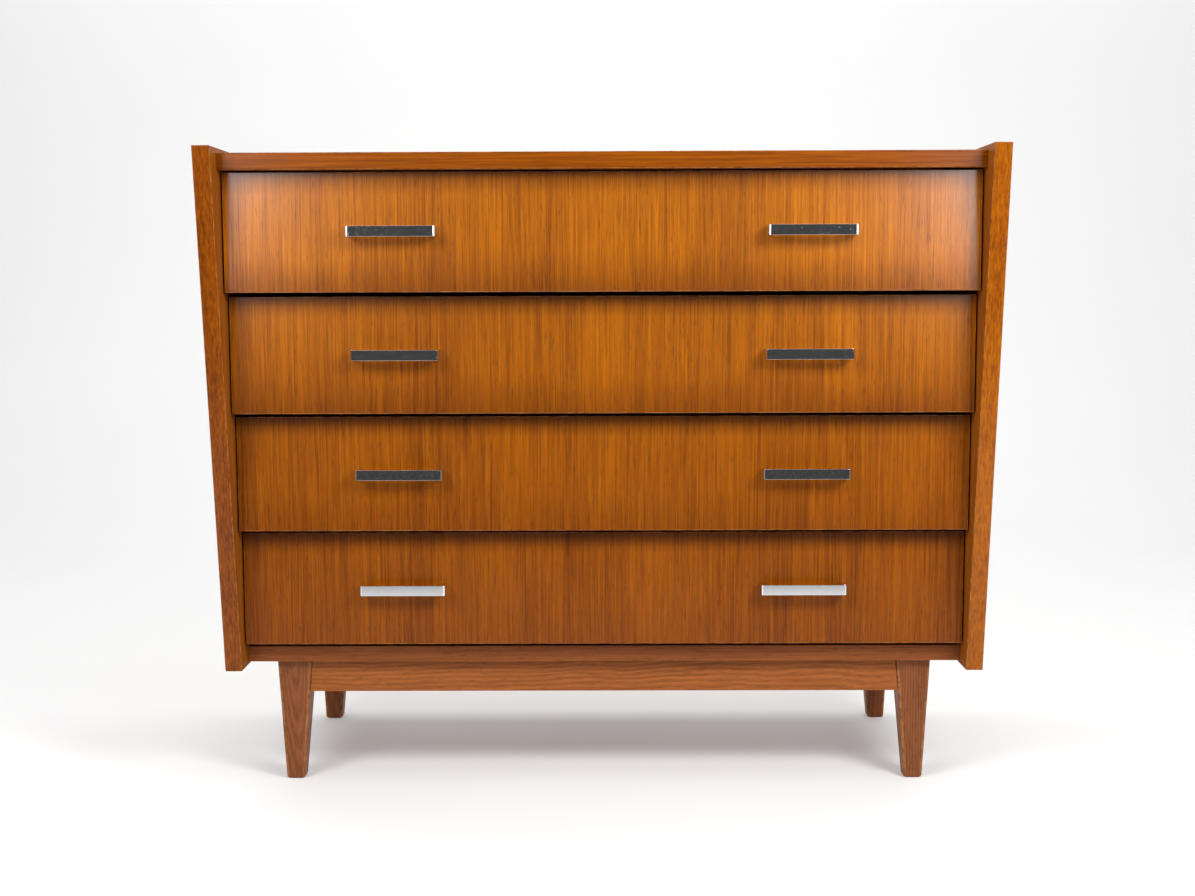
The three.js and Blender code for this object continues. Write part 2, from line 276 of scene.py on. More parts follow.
def new_group(title, inputs, outputs):
    tree = bpy.data.node_groups.new(title, "ShaderNodeTree")
    for name, (kind, default) in inputs.items():
        socket = tree.interface.new_socket(name=name, in_out="INPUT", socket_type=SOCKETS[kind])
        if default is not None:
            socket.default_value = default
    for name, kind in outputs.items():
        tree.interface.new_socket(name=name, in_out="OUTPUT", socket_type=SOCKETS[kind])
    given = tree.nodes.new("NodeGroupInput").outputs
    result = tree.nodes.new("NodeGroupOutput").inputs
    return tree, given, result


# %% [markdown]
# ## What every grain shares
# The two grain groups below begin and end alike. Both start from a place that wanders slowly,
# because no tree grows straight. Both end by sliding between a dark and a light colour, and by
# drawing the open pores: short dark dashes that are rougher than the wood and sink a little below
# it, so they go to the height output too. These helpers hold what is shared.

# %% Parts of a grain group
GRAIN_INPUTS = {
    "Vector": ("vector", None),
    "Light": ("colour", (0.6, 0.25, 0.05, 1)),
    "Dark": ("colour", (0.3, 0.1, 0.02, 1)),
    "Contrast": ("value", 1.0),
    "Pores": ("value", 0.5),
}
GRAIN_OUTPUTS = {"Color": "colour", "Roughness": "value", "Height": "value"}
NOISE_LOW, NOISE_MIDDLE, NOISE_HIGH = 0.3, 0.5, 0.7
PORE_ROUGHNESS = 0.25
FIGURE_HEIGHT = 0.3


def wandering(tree, vector, amount, across, along, detail):
    """The place, pushed about slowly by up to the given amount."""
    slow = noise(tree, stretched(tree, vector, across, along), detail, colour=True)
    centred = add(tree, "VectorMath", {0: slow, 1: (NOISE_MIDDLE,) * 3}, operation="SUBTRACT")
    drift = add(tree, "VectorMath", {0: centred.outputs[0], "Scale": amount}, operation="SCALE")
    return add(tree, "VectorMath", {0: vector, 1: drift.outputs[0]}).outputs[0]


def weighted_sum(tree, *parts):
    """Adds several patterns, each by its own share."""
    shares = [calc(tree, "MULTIPLY", pattern, share) for pattern, share in parts]
    total = shares[0]
    for share in shares[1:]:
        total = calc(tree, "ADD", total, share)
    return total


def write_grain(tree, given, result, mixed, spread, polish, pores, pore_colour):
    """Colour, roughness and height from mixed patterns. polish is for the dark and the light."""
    uneven = calc(tree, "SUBTRACT", mixed, NOISE_MIDDLE)
    strength = calc(tree, "MULTIPLY", uneven, given["Contrast"])
    figure = remap(tree, strength, -spread, spread)
    plain = blend(tree, figure, given["Dark"], given["Light"])
    pores = calc(tree, "MULTIPLY", pores, given["Pores"])
    tree.links.new(blend(tree, pores, plain, pore_colour), result["Color"])
    sheen = remap(tree, figure, 0.0, 1.0, *polish)
    rougher = calc(tree, "MULTIPLY", pores, PORE_ROUGHNESS)
    tree.links.new(calc(tree, "ADD", sheen, rougher), result["Roughness"])
    raised = calc(tree, "SUBTRACT", calc(tree, "MULTIPLY", figure, FIGURE_HEIGHT), pores)
    tree.links.new(raised, result["Height"])


print("a grain group takes", ", ".join(GRAIN_INPUTS))

# %% [markdown]
# ## Straight grain
# Teak veneer cut square to the rings shows nearly parallel lines. Three sizes of noise, each
# stretched along the grain, make it: broad bands a few centimetres wide, streaks of a few
# millimetres, and fine lines that run almost the whole height of a drawer. The sizes below are
# counted in features per metre, across the grain and along it.

# %% Group: straight grain
BAND_SHARE, STREAK_SHARE, FINE_SHARE = 0.20, 0.34, 0.46
BANDS_ALONG, STREAKS_ALONG = 0.8, 5.0
FINE_ACROSS, FINE_ALONG = 600.0, 8.0
STRAIGHT_PORES_ACROSS, STRAIGHT_PORES_ALONG = 900.0, 60.0


def build_straight_grain():
    tree, given, result = new_group("straight grain", {
        **GRAIN_INPUTS,
        "Band Width": ("value", 0.03),
        "Streak Width": ("value", 0.004),
        "Wander": ("value", 0.006),
    }, GRAIN_OUTPUTS)
    grain = wandering(tree, given["Vector"], given["Wander"], 6.0, 2.2, 2.0)
    per_band = calc(tree, "DIVIDE", 1.0, given["Band Width"])
    per_streak = calc(tree, "DIVIDE", 1.0, given["Streak Width"])
    bands = noise(tree, stretched(tree, grain, per_band, BANDS_ALONG), 3.0)
    streaks = noise(tree, stretched(tree, grain, per_streak, STREAKS_ALONG), 3.0, 0.75)
    fine = noise(tree, stretched(tree, grain, FINE_ACROSS, FINE_ALONG), 2.0, 0.7)
    mixed = weighted_sum(tree, (bands, BAND_SHARE), (streaks, STREAK_SHARE), (fine, FINE_SHARE))
    dashes = stretched(tree, grain, STRAIGHT_PORES_ACROSS, STRAIGHT_PORES_ALONG)
    pores = remap(tree, noise(tree, dashes, 1.0), 0.60, 0.70)
    write_grain(tree, given, result, mixed, 0.15, (0.44, 0.36), pores, (0.06, 0.02, 0.008, 1))
    return tree


STRAIGHT_GRAIN = build_straight_grain()
print("built the group", STRAIGHT_GRAIN.name)

# %% [markdown]
# ## Ring grain
# A solid piece sawn through the rings shows lines that swell and close into arches. The rings
# are circles round the heart of the tree, so their number is the distance from that line divided
# by the ring width. Where the heart line leans across the piece the rings come out as arches.
# The Mapping node in each material leans and shifts the heart line, and one group serves legs
# and aprons.

# %% Group: ring grain
RING_SHARE, DASH_SHARE, BROAD_SHARE = 0.20, 0.56, 0.24
DASHES_ACROSS, DASHES_ALONG = 420.0, 15.0
BROAD_ACROSS, BROAD_ALONG = 45.0, 2.0
RING_PORES_ACROSS, RING_PORES_ALONG = 1300.0, 50.0


def build_ring_grain():
    tree, given, result = new_group("ring grain", {
        **GRAIN_INPUTS,
        "Ring Width": ("value", 0.004),
        "Waver": ("value", 0.004),
    }, GRAIN_OUTPUTS)
    grain = wandering(tree, given["Vector"], given["Waver"], 18.0, 9.0, 3.0)
    flat = add(tree, "VectorMath", {0: grain, 1: (1, 1, 0)}, operation="MULTIPLY").outputs[0]
    reach = add(tree, "VectorMath", {0: flat}, operation="LENGTH").outputs["Value"]
    turns = calc(tree, "DIVIDE", reach, given["Ring Width"])
    wave = calc(tree, "SINE", calc(tree, "MULTIPLY", turns, 2 * math.pi))
    rings = remap(tree, wave, -1.0, 1.0)
    dashes = noise(tree, stretched(tree, grain, DASHES_ACROSS, DASHES_ALONG), 3.0, 0.65)
    broad = noise(tree, stretched(tree, grain, BROAD_ACROSS, BROAD_ALONG), 2.0)
    mixed = weighted_sum(tree, (rings, RING_SHARE), (dashes, DASH_SHARE), (broad, BROAD_SHARE))
    pitted = stretched(tree, grain, RING_PORES_ACROSS, RING_PORES_ALONG)
    pores = remap(tree, noise(tree, pitted, 1.0), 0.58, 0.70)
    write_grain(tree, given, result, mixed, 0.22, (0.46, 0.38), pores, (0.05, 0.018, 0.008, 1))
    return tree


RING_GRAIN = build_ring_grain()
print("built the group", RING_GRAIN.name)

# %% [markdown]
# ## Years of use
# An old oiled surface isn't even: hands leave it a little shinier in patches, the edges are
# rubbed paler, and a few dark specks are scattered about. `handled` takes any wood colour and
# roughness and adds those. Its Rub input is high only on the rounded edges. The specks are the
# middles of large cells, of which most are left out at random.

# %% Group: handled
RUBBED_COLOUR = (0.48, 0.22, 0.07, 1)
SPECK_COLOUR = (0.03, 0.01, 0.005, 1)
SHINIER, DULLER = -0.05, 0.06
SPECK_CELLS = 7.0
SPECK_CORE, SPECK_RIM = 0.008, 0.016
SPECKS_LEFT_OUT = 0.72


def build_handled():
    tree, given, result = new_group("handled", {
        "Vector": ("vector", None),
        "Color": ("colour", (0.5, 0.2, 0.05, 1)),
        "Roughness": ("value", 0.4),
        "Rub": ("value", 0.0),
    }, {"Color": "colour", "Roughness": "value"})
    patches = noise(tree, stretched(tree, given["Vector"], 9.0, 9.0), 3.0)
    broken = noise(tree, stretched(tree, given["Vector"], 90.0, 90.0), 3.0, 0.65)
    rubbed = calc(tree, "MULTIPLY", remap(tree, broken, 0.40, 0.60), given["Rub"])
    pale = blend(tree, rubbed, given["Color"], RUBBED_COLOUR)
    cells = add(tree, "TexVoronoi", {"Vector": given["Vector"], "Scale": SPECK_CELLS,
                                     "Randomness": 1.0})
    dot = remap(tree, cells.outputs["Distance"], SPECK_CORE, SPECK_RIM, 1.0, 0.0)
    choice = add(tree, "SeparateColor", {0: cells.outputs["Color"]}).outputs[0]
    dot = calc(tree, "MULTIPLY", dot, calc(tree, "GREATER_THAN", choice, SPECKS_LEFT_OUT))
    tree.links.new(blend(tree, dot, pale, SPECK_COLOUR), result["Color"])
    shift = remap(tree, patches, NOISE_LOW, NOISE_HIGH, SHINIER, DULLER)
    tree.links.new(calc(tree, "ADD", given["Roughness"], shift), result["Roughness"])
    return tree


HANDLED = build_handled()
print("built the group", HANDLED.name)

# %% [markdown]
# ## Painted light and shade on the fronts
# The fronts are painted darker and redder towards the foot of the chest: painted shade for the
# light that falls off downwards. Near the two ends of the upper drawers they are painted lighter
# and more golden: a painted highlight. Just under the drawer above, a front is painted dark: the
# painted shadow of the overhang. Each front is also darker in a band along its lower edge, least
# on the lowest one. The upper fronts have been polished more often too, so the group also puts
# out how glossy a place is. The height within one drawer is the height in the chest wrapped to
# the drawer pitch, so one material does all four.

# %% Where the fronts are, and the painted light and shade, edge band and gloss of each place
LOWEST_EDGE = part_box("drawer_4_front")[0].z
HIGHEST_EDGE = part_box("drawer_1_front")[1].z
DRAWER_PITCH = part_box("drawer_3_front")[0].z - LOWEST_EDGE
# Painted shade: the fronts are painted darker and redder towards the foot of the chest, where less
# light falls.
LOWEST_PAINTED_SHADE = (0.59, 0.49, 0.41, 1)
# Painted highlight: near the two ends of the upper drawers the fronts are painted lighter and more
# golden.
PAINTED_END_HIGHLIGHT = (1.28, 1.32, 1.26, 1)
END_HIGHLIGHT_FROM, END_HIGHLIGHT_TO = 0.16, 0.45
END_HIGHLIGHT_FOOT, END_HIGHLIGHT_TOP = 0.53, 0.68
# Each front is darker in a band along its lower edge, least on the lowest one.
LEAST_EDGE_BAND_HEIGHT, MOST_EDGE_BAND_HEIGHT = 36 * MM, 60 * MM
LOWEST_EDGE_BAND = (0.96, 0.95, 0.94, 1)
FULL_EDGE_BAND = (0.62, 0.56, 0.5, 1)
FULL_EDGE_BAND_FROM = 0.6
# Painted shadow: the strip of each front just under the drawer above is painted dark, as the
# overhang's shadow.
OVERHANG_SHADOW_FROM, OVERHANG_SHADOW_TO = 116 * MM, 142 * MM
PAINTED_OVERHANG_SHADOW = (0.37, 0.35, 0.35, 1)
DULL_BELOW, GLOSSY_ABOVE = 0.22, 0.76
LOWEST_GLOSS, FULL_GLOSS = 0.14, 1.0
UNTOUCHED = (1, 1, 1, 1)
print("the fronts run from", round(LOWEST_EDGE, 4), "to", round(HIGHEST_EDGE, 4))


# %% Group: front painted light and gloss
def build_front_painted_light_and_gloss():
    tree, given, result = new_group("front painted light and gloss", {
        "Vector": ("vector", None),
        "Color": ("colour", (0.5, 0.2, 0.05, 1)),
    }, {"Color": "colour", "Gloss": "value"})
    place = add(tree, "SeparateXYZ", {0: given["Vector"]}).outputs
    height = place["Z"]
    # Painted shade, darker and redder towards the foot of the chest.
    chest_height_share = remap(tree, height, LOWEST_EDGE, HIGHEST_EDGE)
    tint = blend(tree, chest_height_share, LOWEST_PAINTED_SHADE, UNTOUCHED)
    # Painted highlight near the ends of the upper drawers.
    outer = remap(tree, calc(tree, "ABSOLUTE", place["X"]), END_HIGHLIGHT_FROM, END_HIGHLIGHT_TO)
    end_highlight = calc(tree, "MULTIPLY", outer, remap(tree, height, END_HIGHLIGHT_FOOT, END_HIGHLIGHT_TOP))
    tint = blend(tree, end_highlight, tint, PAINTED_END_HIGHLIGHT)
    painted_light_colour = blend(tree, 1.0, given["Color"], tint, mode="MULTIPLY")
    above = calc(tree, "SUBTRACT", height, LOWEST_EDGE)
    within = add(tree, "Math", {0: above, 1: DRAWER_PITCH, 2: 0.0}, operation="WRAP").outputs[0]
    # A darker band along the lower edge of each front.
    patchy = noise(tree, stretched(tree, given["Vector"], 14.0, 14.0), 2.0)
    reach = remap(tree, patchy, NOISE_LOW, NOISE_HIGH, LEAST_EDGE_BAND_HEIGHT, MOST_EDGE_BAND_HEIGHT)
    past_edge_band = calc(tree, "DIVIDE", within, reach, clamp=True)
    edge_band_strength = remap(tree, chest_height_share, 0.0, FULL_EDGE_BAND_FROM)
    edge_band = blend(tree, edge_band_strength, LOWEST_EDGE_BAND, FULL_EDGE_BAND)
    front_darkening = blend(tree, past_edge_band, edge_band, UNTOUCHED)
    # Painted shadow of the overhang of the drawer above.
    overhang_shadow_mask = remap(tree, within, OVERHANG_SHADOW_FROM, OVERHANG_SHADOW_TO)
    painted_overhang_shadow = blend(tree, overhang_shadow_mask, UNTOUCHED, PAINTED_OVERHANG_SHADOW)
    front_darkening = blend(tree, 1.0, front_darkening, painted_overhang_shadow, mode="MULTIPLY")
    tree.links.new(blend(tree, 1.0, painted_light_colour, front_darkening, mode="MULTIPLY"), result["Color"])
    polish = add(tree, "MapRange", {0: height, 1: DULL_BELOW, 2: GLOSSY_ABOVE,
                                    3: LOWEST_GLOSS, 4: FULL_GLOSS},
                 interpolation_type="SMOOTHSTEP")
    tree.links.new(polish.outputs[0], result["Gloss"])
    return tree


FRONT_PAINTED_LIGHT_AND_GLOSS = build_front_painted_light_and_gloss()
print("built the group", FRONT_PAINTED_LIGHT_AND_GLOSS.name, "for a drawer pitch of", round(DRAWER_PITCH, 4))

# %% [markdown]
# ## The woods
# All grain runs along Z inside the groups, so a Mapping node turns it to lie along the piece.
# Object coordinates are used, and every finished piece keeps its object at the origin, so the
# figure carries on from one drawer front to the next, as it does on fronts cut from one sheet.
# The oil or lacquer on top is the shader's coat: its weight may change over the surface, and its
# blur and index are the same everywhere.

# %% Making a wood
GRAIN_TURN = {"Z": (0, 0, 0), "X": (0, -math.pi / 2, 0), "Y": (math.pi / 2, 0, 0)}
PORE_RELIEF, PORE_DEPTH = 0.35, 0.15 * MM


def wood(name, group, along, figure, rub=0.0, shift=(0, 0, 0), lean=(0, 0, 0),
         gloss=0.1, sheen_blur=0.35, under_gloss=0.08, coat_index=1.5, painted_light_and_gloss=None):
    """A wooden material. figure holds the grain group's own values."""
    material = bpy.data.materials.new(name)
    material.use_nodes = True
    tree = material.node_tree
    tree.nodes.clear()
    place = add(tree, "TexCoord").outputs["Object"]
    turned = add(tree, "Mapping", {"Vector": place, "Rotation": GRAIN_TURN[along]}).outputs[0]
    heart = add(tree, "Mapping", {"Vector": turned, "Location": shift, "Rotation": lean}).outputs[0]
    grain = add(tree, "Group", node_tree=group)
    tree.links.new(heart, grain.inputs["Vector"])
    for title, value in figure.items():
        grain.inputs[title].default_value = value
    colour = grain.outputs["Color"]
    coat = gloss
    if painted_light_and_gloss:
        front_paint = add(tree, "Group", node_tree=painted_light_and_gloss)
        tree.links.new(place, front_paint.inputs["Vector"])
        tree.links.new(colour, front_paint.inputs["Color"])
        colour, coat = front_paint.outputs["Color"], front_paint.outputs["Gloss"]
    used = add(tree, "Group", node_tree=HANDLED)
    tree.links.new(place, used.inputs["Vector"])
    tree.links.new(colour, used.inputs["Color"])
    tree.links.new(grain.outputs["Roughness"], used.inputs["Roughness"])
    used.inputs["Rub"].default_value = rub
    relief = add(tree, "Bump", {"Height": grain.outputs["Height"], "Strength": PORE_RELIEF,
                                "Distance": PORE_DEPTH})
    surface = add(tree, "BsdfPrincipled", {
        "Base Color": used.outputs["Color"], "Roughness": used.outputs["Roughness"],
        "Normal": relief.outputs[0], "Specular IOR Level": under_gloss,
        "Coat Weight": coat, "Coat Roughness": sheen_blur, "Coat IOR": coat_index})
    finish = add(tree, "OutputMaterial")
    tree.links.new(surface.outputs[0], finish.inputs["Surface"])
    return material


# %% The finishes of this chest
FRONT_FIGURE = {"Light": (0.455, 0.134, 0.001, 1), "Dark": (0.19, 0.0455, 0.0005, 1),
                "Band Width": 0.05, "Streak Width": 0.0038, "Wander": 0.006, "Pores": 0.4,
                "Contrast": 1.2}
CASE_FIGURE = {"Light": (0.36, 0.106, 0.010, 1), "Dark": (0.17, 0.042, 0.003, 1),
               "Band Width": 0.05, "Streak Width": 0.006, "Wander": 0.02, "Pores": 0.4}
LIP_FIGURE = {"Light": (0.27, 0.065, 0.0008, 1), "Dark": (0.10, 0.019, 0.0004, 1),
              "Band Width": 0.02, "Streak Width": 0.003, "Wander": 0.003, "Pores": 0.2,
              "Contrast": 1.3}
# Painted light: a lighter copy of the lipping figure for the right side panel, which is lit more
# than the left.
LIT_RIGHT_LIP_FIGURE = dict(LIP_FIGURE, Light=(0.38, 0.105, 0.0012, 1),
                       Dark=(0.17, 0.036, 0.0006, 1))
BASE_FIGURE = {"Light": (0.275, 0.082, 0.020, 1), "Dark": (0.147, 0.037, 0.008, 1),
               "Band Width": 0.02, "Streak Width": 0.004, "Wander": 0.01, "Pores": 0.5}
LEG_FIGURE = {"Light": (0.285, 0.093, 0.032, 1), "Dark": (0.108, 0.032, 0.010, 1),
              "Ring Width": 0.0035, "Waver": 0.004, "Pores": 0.5, "Contrast": 0.75}
APRON_FIGURE = {"Light": (0.375, 0.117, 0.027, 1), "Dark": (0.17, 0.046, 0.010, 1),
                "Ring Width": 0.0045, "Waver": 0.012, "Pores": 0.45, "Contrast": 0.8}
BEECH_FIGURE = {"Light": (0.66, 0.46, 0.27, 1), "Dark": (0.50, 0.31, 0.16, 1),
                "Band Width": 0.03, "Streak Width": 0.003, "Wander": 0.008, "Pores": 0.25}
PLY_FIGURE = {"Light": (0.68, 0.50, 0.31, 1), "Dark": (0.52, 0.34, 0.18, 1),
              "Band Width": 0.09, "Streak Width": 0.008, "Wander": 0.05, "Pores": 0.12}

RUBBED, LIGHTLY_RUBBED = 0.55, 0.3
FRONT_BLUR = 0.20
LIP_FINISH = {"gloss": 0.3, "sheen_blur": 0.2, "under_gloss": 0.05}

front_teak = wood("front_teak", STRAIGHT_GRAIN, "Z", FRONT_FIGURE, sheen_blur=FRONT_BLUR,
                  under_gloss=0.05, coat_index=1.7, painted_light_and_gloss=FRONT_PAINTED_LIGHT_AND_GLOSS)
front_edge = wood("front_edge", STRAIGHT_GRAIN, "Z", FRONT_FIGURE, rub=RUBBED,
                  sheen_blur=FRONT_BLUR, painted_light_and_gloss=FRONT_PAINTED_LIGHT_AND_GLOSS)
case_teak = {axis: wood("case_teak_" + axis, STRAIGHT_GRAIN, axis, CASE_FIGURE, gloss=0.05,
                        under_gloss=0.04) for axis in "XZ"}
lip_teak = {axis: wood("lip_teak_" + axis, STRAIGHT_GRAIN, axis, LIP_FIGURE, **LIP_FINISH)
            for axis in "XY"}
# The right side's lipping uses the painted-light copy.
side_lip_teak = {hand: wood("side_lip_teak_" + hand, STRAIGHT_GRAIN, "Z", figure, **LIP_FINISH)
                 for hand, figure in (("left", LIP_FIGURE), ("right", LIT_RIGHT_LIP_FIGURE))}
case_edge = wood("case_edge", STRAIGHT_GRAIN, "Z", LIP_FIGURE, rub=RUBBED)
base_teak = wood("base_teak", STRAIGHT_GRAIN, "X", BASE_FIGURE)
base_edge = wood("base_edge", STRAIGHT_GRAIN, "X", BASE_FIGURE, rub=LIGHTLY_RUBBED)
apron_teak = {axis: wood("apron_teak_" + axis, RING_GRAIN, axis, APRON_FIGURE,
                         shift=(0.06, 0.02, 0), lean=(0.03, 0.05, 0)) for axis in "XY"}
apron_edge = wood("apron_edge", RING_GRAIN, "X", APRON_FIGURE, rub=LIGHTLY_RUBBED)
beech = {axis: wood("beech_" + axis, STRAIGHT_GRAIN, axis, BEECH_FIGURE, gloss=0.0)
         for axis in "XYZ"}
birch_ply = {axis: wood("birch_ply_" + axis, STRAIGHT_GRAIN, axis, PLY_FIGURE, gloss=0.0)
             for axis in "XZ"}
print("woods made:", len(bpy.data.materials))

# %% [markdown]
# ## Polished metal
# Chrome plate is a mirror, so what makes it look real is what it reflects and how it has worn.
# Fine scuffs change its roughness a little, in patches, and nothing changes its colour. The
# screws are duller steel.

# %% Chrome and steel
SCUFFS_ACROSS, SCUFFS_ALONG = 900.0, 3500.0
SCUFF_RELIEF, SCUFF_DEPTH = 0.05, 0.02 * MM


def metal(name, colour, dull, scuffed, scuff_size):
    material = bpy.data.materials.new(name)
    material.use_nodes = True
    tree = material.node_tree
    tree.nodes.clear()
    place = add(tree, "TexCoord").outputs["Object"]
    cloudy = noise(tree, stretched(tree, place, 1 / scuff_size, 1 / scuff_size), 3.0)
    lines = noise(tree, stretched(tree, place, SCUFFS_ACROSS, SCUFFS_ALONG), 2.0)
    patch = remap(tree, cloudy, 0.42, 0.62)
    marks = calc(tree, "MULTIPLY", patch, remap(tree, lines, 0.45, 0.65))
    roughness = remap(tree, marks, 0.0, 1.0, dull, scuffed)
    relief = add(tree, "Bump", {"Height": lines, "Strength": SCUFF_RELIEF,
                                "Distance": SCUFF_DEPTH})
    surface = add(tree, "BsdfPrincipled", {
        "Base Color": colour, "Metallic": 1.0, "Roughness": roughness,
        "Normal": relief.outputs[0]})
    finish = add(tree, "OutputMaterial")
    tree.links.new(surface.outputs[0], finish.inputs["Surface"])
    return material


chrome = metal("chrome", (0.80, 0.81, 0.82, 1), 0.06, 0.22, 0.005)
steel = metal("steel", (0.46, 0.45, 0.43, 1), 0.28, 0.5, 0.004)
print("metals made:", chrome.name, steel.name)

# %% [markdown]
# ## The case
# The boards already have their exact shape in the CAD model, with the rake, the rebates and the
# grooves. A copy of each is cleaned and its edges are eased by under a millimetre, which is what
# catches the light along every edge of real furniture. The broad faces are veneer, and the narrow
# ones are solid lippings whose grain runs along the edge.

# %% Side panels
BOARD_EASE, PLY_EASE, STRIP_EASE = 0.8 * MM, 0.3 * MM, 0.6 * MM
SOLID_EASE = 0.9 * MM
MOSTLY, SQUARELY = 0.7, 0.9


def make_side_panel(hand):
    node = "side_panel_" + hand
    panel = coat_with(bench_copy(node, "teak_side_" + hand), case_teak["Z"], case_edge,
                      side_lip_teak[hand], lip_teak["Y"])
    finish_faces(panel, 2, lambda place, facing: abs(facing.y) > MOSTLY)
    finish_faces(panel, 3, lambda place, facing: abs(facing.z) > MOSTLY)
    ease(panel, BOARD_EASE)
    return settle(panel, "case", "case_teak", node)


for hand in HANDS:
    print(make_side_panel(hand).name)


# %% Top, bottom and back
def make_top_panel():
    panel = coat_with(bench_copy("top_panel", "teak_top"), case_teak["X"], case_edge,
                      lip_teak["X"])
    finish_faces(panel, 2, lambda place, facing: abs(facing.y) > MOSTLY)
    ease(panel, BOARD_EASE)
    return settle(panel, "case", "case_teak", "top_panel")


def make_bottom_panel():
    panel = coat_with(bench_copy("bottom_panel", "teak_bottom"), base_teak, base_edge)
    ease(panel, BOARD_EASE)
    return settle(panel, "case", "leg_teak", "bottom_panel")


def make_back_panel():
    panel = coat_with(bench_copy("back_panel", "ply_back"), birch_ply["X"], birch_ply["Z"])
    ease(panel, PLY_EASE)
    return settle(panel, "case", "back_board", "back_panel")


for panel in (make_top_panel(), make_bottom_panel(), make_back_panel()):
    print(panel.name, len(panel.data.polygons), "faces")


# %% Runners and battens
def make_strip(node):
    strip = coat_with(bench_copy(node, "beech_" + node), beech["Y"], beech["Y"])
    ease(strip, STRIP_EASE)
    return settle(strip, "case", "beech", node)


strips = [make_strip(f"runner_{hand}_{number}") for hand in HANDS for number in DRAWERS]
strips += [make_strip("batten_" + hand) for hand in HANDS]
print(len(strips), "beech strips")


# %% [markdown]
# ## The drawers
# A front is a veneered board with a lipping along its top edge and sockets cut for the dovetails,
# so only the edges of its face and back are eased, not the sockets. The box behind it is plain
# beech with a plywood bottom.


# %% Drawer fronts
def make_front(number):
    node = f"drawer_{number}_front"
    low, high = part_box(node)
    front = coat_with(bench_copy(node, f"teak_front_{number}"), front_teak, front_edge,
                      lip_teak["X"])
    finish_faces(front, 2, lambda place, facing: facing.z > SQUARELY and near(place.z, high.z))

    def on_rim(first, second):
        """Tells whether an edge goes round the face, or along the back at its top or foot."""
        level = near(first.z, second.z) and (near(first.z, low.z) or near(first.z, high.z))
        upright = near(first.x, second.x) and (near(first.x, low.x) or near(first.x, high.x))
        on_face = near(first.y, low.y) and near(second.y, low.y)
        on_back = near(first.y, high.y) and near(second.y, high.y)
        return on_face and (level or upright) or on_back and level

    ease(front, SOLID_EASE, 3, test=on_rim)
    return settle(front, f"drawer_{number}", "front_veneer", node)


for number in DRAWERS:
    print(make_front(number).name)


# %% Drawer boxes
BOX_EASE = 1.5 * MM


def make_box_part(number, part, material):
    node = f"drawer_{number}_{part}"
    low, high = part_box(node)
    piece = coat_with(bench_copy(node, f"box_{number}_{part}"), material, material)

    def upper_edge(first, second):
        return near(first.z, high.z) and near(second.z, high.z)

    ease(piece, BOX_EASE, 3, test=upper_edge)
    return settle(piece, f"drawer_{number}", "drawer_beech", node)


def make_box_bottom(number):
    node = f"drawer_{number}_bottom"
    sheet = coat_with(bench_copy(node, f"box_{number}_bottom"), birch_ply["X"])
    smooth_rounds(sheet)
    return settle(sheet, f"drawer_{number}", "drawer_ply", node)


for number in DRAWERS:
    for hand in HANDS:
        make_box_part(number, "side_" + hand, beech["Y"])
    make_box_part(number, "back", beech["X"])
    make_box_bottom(number)
print("drawer boxes made for", len(DRAWERS), "drawers")

# %% [markdown]
# ## The pulls
# Each pull is a flat bar with its ends turned back to the drawer. It is modelled once: a block is
# cut across near each end, the two end patches on its back are drawn out to the drawer, the bends
# are rounded, and last every edge gets a small polished round. Then it is copied to its eight
# places.

# %% One pull
PULL_LOW, PULL_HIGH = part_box("drawer_1_handle_left")
PULL_SIZE = PULL_HIGH - PULL_LOW
BAR_THICK = 3.2 * MM
LEG_WIDE = 7.5 * MM
OUTER_BEND, INNER_BEND = 7.0 * MM, 2.5 * MM
PULL_EASE = 0.9 * MM


def make_pull():
    half = PULL_SIZE.x / 2
    depth = PULL_SIZE.y
    pull = block("pull", (-half, -depth, -PULL_SIZE.z / 2),
                 (half, BAR_THICK - depth, PULL_SIZE.z / 2))
    for cut in (-half + LEG_WIDE, half - LEG_WIDE):
        pick(pull, "VERT", lambda place: True)
        bpy.ops.mesh.bisect(plane_co=(cut, 0, 0), plane_no=(1, 0, 0))
        leave_edit()
    pick(pull, "FACE", lambda place, facing: facing.y > SQUARELY
         and abs(place.x) > half - LEG_WIDE)
    bpy.ops.mesh.extrude_region_move(TRANSFORM_OT_translate={"value": (0, depth - BAR_THICK, 0)})
    leave_edit()
    for y, x, bend, rounds in ((-depth, half, OUTER_BEND, 10),
                               (BAR_THICK - depth, half - LEG_WIDE, INNER_BEND, 6)):
        pick(pull, "EDGE", lambda first, second: near(first.x, second.x)
             and near(first.y, second.y) and near(first.y, y) and near(abs(first.x), x))
        bevel_selected(bend, rounds, 0)
        leave_edit()
    coat_with(pull, chrome)
    return ease(pull, PULL_EASE, 3, 0)


pull = make_pull()
print("one pull has", len(pull.data.polygons), "faces")


# %% Eight pulls
def copy_to(pattern, name, place, turn=Matrix.Identity(4)):
    """A copy with its own mesh, and its place in that mesh."""
    copy = bpy.data.objects.new(name, pattern.data.copy())
    bpy.context.scene.collection.objects.link(copy)
    copy.data.transform(Matrix.Translation(place) @ turn)
    return copy


for number in DRAWERS:
    for hand in HANDS:
        node = f"drawer_{number}_handle_{hand}"
        low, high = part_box(node)
        middle = (low + high) / 2
        copy = copy_to(pull, f"pull_{number}_{hand}", (middle.x, high.y, middle.z))
        settle(copy, f"drawer_{number}", "chrome", node)
bpy.data.objects.remove(pull)
print("pulls placed")

# %% [markdown]
# ## The leg frame
# A leg is a square foot drawn up into a wider square top. The CAD leg gives both sizes, so the
# foot is made as a low block, its upper face is raised and spread to the size of the top, and the
# corners are rounded, most of all at the floor, where a square one would split. Each leg has its
# own heart line, so that no two have the same figure.


